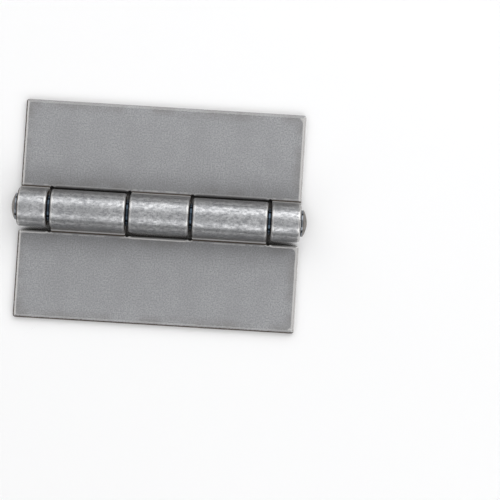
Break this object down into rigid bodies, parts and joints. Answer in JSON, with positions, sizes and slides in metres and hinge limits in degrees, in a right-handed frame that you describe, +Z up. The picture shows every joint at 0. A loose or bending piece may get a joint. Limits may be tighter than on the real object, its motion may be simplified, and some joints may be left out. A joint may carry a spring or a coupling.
{
  "type": "butt hinge",
  "caption": "Plain weld-on butt hinge in bare steel: sheet leaves with curled knuckles on a domed fast pin, lying open flat.",
  "frame": {"origin": "under the middle of the barrel, on the plane of the leaves' undersides", "axes": "+X along the barrel, +Y towards the three-knuckle leaf, +Z up, the side the barrel stands on"},
  "size_m": [0.1046, 0.078, 0.0136],
  "materials": {
    "leaf_steel": "bare mill-finish steel sheet, dull grey faces, burnished knuckles, bright worn edges",
    "pin_steel": "dark blued steel pin with domed ends"
  },
  "bodies": {
    "fixed_leaf": {"three_knuckle_leaf": "leaf_steel", "hinge_pin": "pin_steel"},
    "swing_leaf": {"two_knuckle_leaf": "leaf_steel"}
  },
  "joints": [
    {"name": "leaf_swing", "type": "hinge", "parent": "fixed_leaf", "child": "swing_leaf", "pos_m": [0, 0, 0.0068], "axis": [-1, 0, 0], "range_deg": [-90, 180]}
  ]
}
